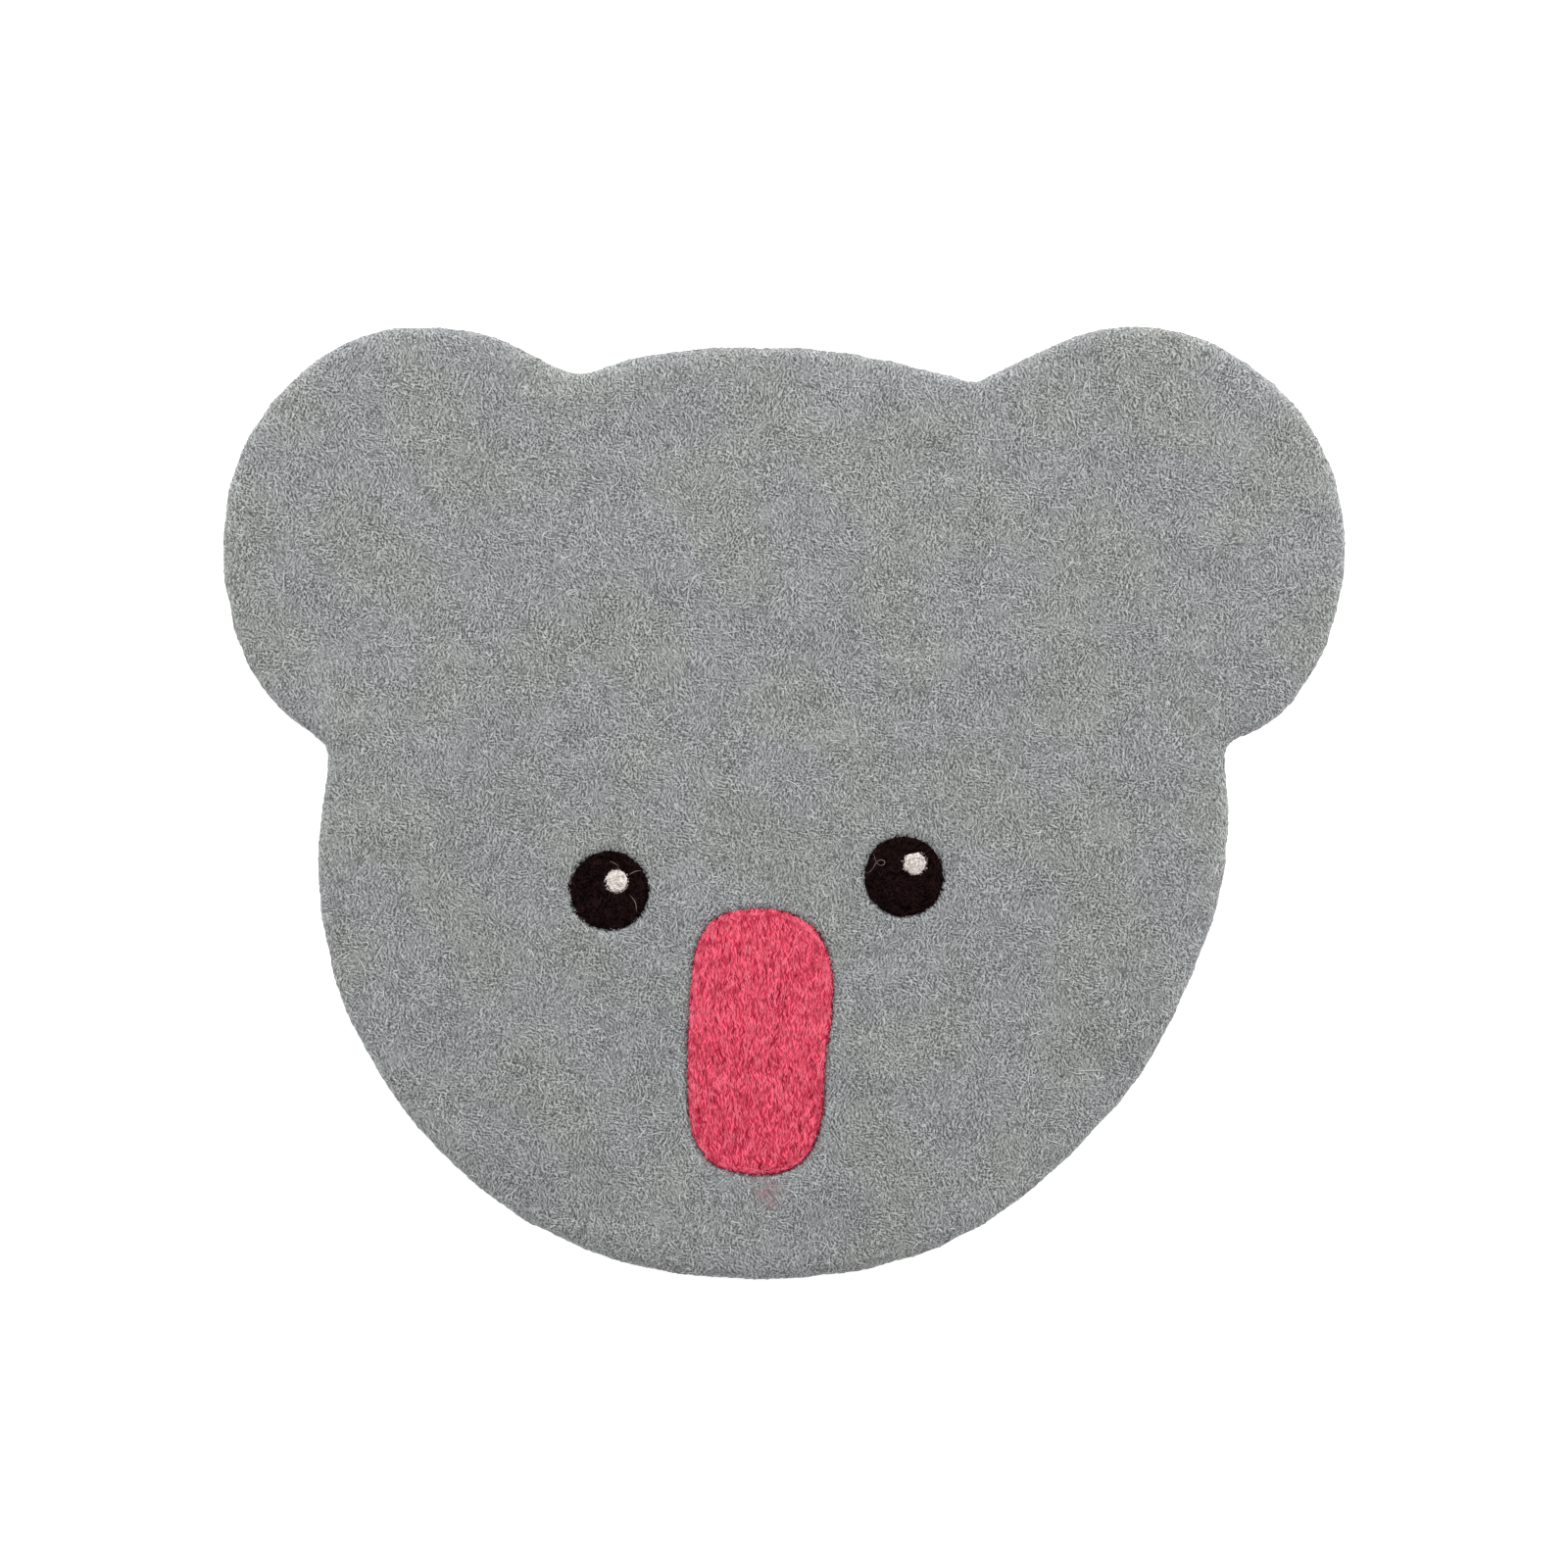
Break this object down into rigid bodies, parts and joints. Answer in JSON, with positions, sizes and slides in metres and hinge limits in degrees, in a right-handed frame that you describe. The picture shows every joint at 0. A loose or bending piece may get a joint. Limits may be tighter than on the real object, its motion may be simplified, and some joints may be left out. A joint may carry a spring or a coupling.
{
  "type": "felt mat",
  "caption": "Flat thick wool felt mat in the outline of an animal's head with round ears, with needled round eyes and a long rounded nose.",
  "frame": {"origin": "middle of the outline's box, on the underside that the mat lies on", "axes": "+Z out of the face, +Y to the top of the head between the ears, +X to the right ear as seen looking at the face"},
  "size_m": [0.36, 0.3052, 0.0085],
  "materials": {
    "grey_felt": "matte wet-felted wool",
    "black_felt": "matte needle-felted wool",
    "pale_felt": "matte needle-felted wool",
    "pink_felt": "matte needle-felted wool with the strands laid along the nose"
  },
  "bodies": {
    "root": {"felt_head": "grey_felt", "left_eye": "black_felt", "left_eye_highlight": "pale_felt", "right_eye": "black_felt", "right_eye_highlight": "pale_felt", "nose": "pink_felt"}
  },
  "joints": []
}
